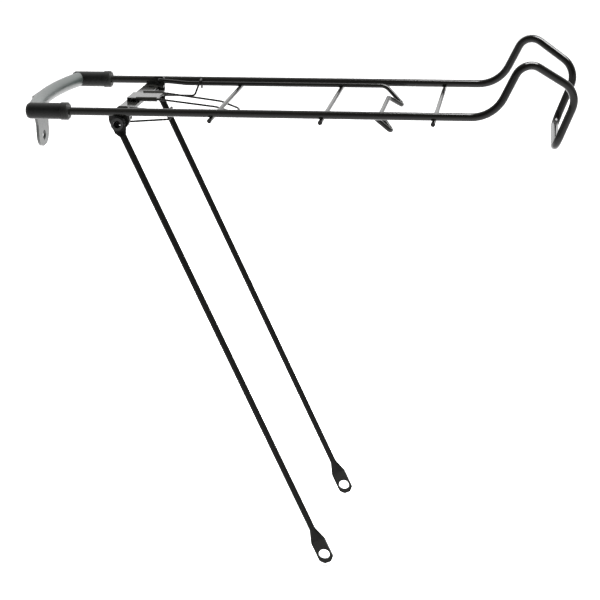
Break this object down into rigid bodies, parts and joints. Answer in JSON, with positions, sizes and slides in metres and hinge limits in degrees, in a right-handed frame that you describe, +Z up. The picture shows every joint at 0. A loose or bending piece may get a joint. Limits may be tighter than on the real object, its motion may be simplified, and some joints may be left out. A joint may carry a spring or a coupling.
{
  "type": "bicycle rear rack",
  "caption": "Bent-rod rear luggage rack for a bicycle, with two hinged stays to the axle, a front fixing tab and a sprung clip that presses luggage on the platform.",
  "frame": {"origin": "centre of the bolt hole in the front tab, on the tab's front face", "axes": "+X rearward along the rails, +Y to the bicycle's right, +Z up"},
  "size_m": [0.4822, 0.1614, 0.4657],
  "materials": {
    "frame_paint": "gloss black paint on bent steel rod",
    "stay_paint": "gloss black paint, slightly thinner on the flattened ends",
    "bow_paint": "satin black paint",
    "tab_paint": "satin black paint on sheet steel",
    "ferrule_paint": "satin black paint",
    "bridge_paint": "gloss black paint on pressed steel",
    "clip_paint": "gloss black paint on spring wire",
    "spring_wire": "black finished spring wire",
    "rivet_metal": "black painted steel rivets"
  },
  "bodies": {
    "frame": {"main_frame": "frame_paint", "front_bow": "bow_paint", "ferrule_left": "ferrule_paint", "ferrule_right": "ferrule_paint", "front_tab": "tab_paint", "cross_rod_front": "frame_paint", "cross_rod_middle": "frame_paint", "cross_rod_rear": "frame_paint", "stay_bridge": "bridge_paint", "stay_rivet_left": "rivet_metal", "stay_rivet_right": "rivet_metal", "stay_spacer_left": "rivet_metal", "stay_spacer_right": "rivet_metal", "stay_washer_left": "rivet_metal", "stay_washer_right": "rivet_metal", "spring_bail": "spring_wire", "spring_pin_left": "rivet_metal", "spring_pin_right": "rivet_metal"},
    "left_stay": {"stay_left": "stay_paint"},
    "right_stay": {"stay_right": "stay_paint"},
    "clip": {"clip_frame": "clip_paint"},
    "spring_legs": {"spring_leg_left": "spring_wire", "spring_leg_right": "spring_wire"}
  },
  "joints": [
    {"name": "left_stay_pivot", "type": "hinge", "parent": "frame", "child": "left_stay", "pos_m": [0.092, -0.076, 0.028], "axis": [0, -1, 0], "range_deg": [-110, 64]},
    {"name": "right_stay_pivot", "type": "hinge", "parent": "frame", "child": "right_stay", "pos_m": [0.092, 0.076, 0.028], "axis": [0, -1, 0], "range_deg": [-110, 64]},
    {"name": "clip_pivot", "type": "hinge", "parent": "frame", "child": "clip", "pos_m": [0.097, 0, 0.0392], "axis": [0, -1, 0], "range_deg": [0, 75], "stiffness_Nm_per_rad": 0.8, "springref_deg": -28.65},
    {"name": "spring_wind", "type": "hinge", "parent": "frame", "child": "spring_legs", "pos_m": [0.095, 0, 0.0289], "axis": [0, -1, 0], "range_deg": [0, 66], "deforming": ["spring_leg_left", "spring_leg_right", "spring_bail"]}
  ],
  "couplings": [
    {"joint": "spring_wind", "follows": "clip_pivot", "ratio": 0.87}
  ]
}
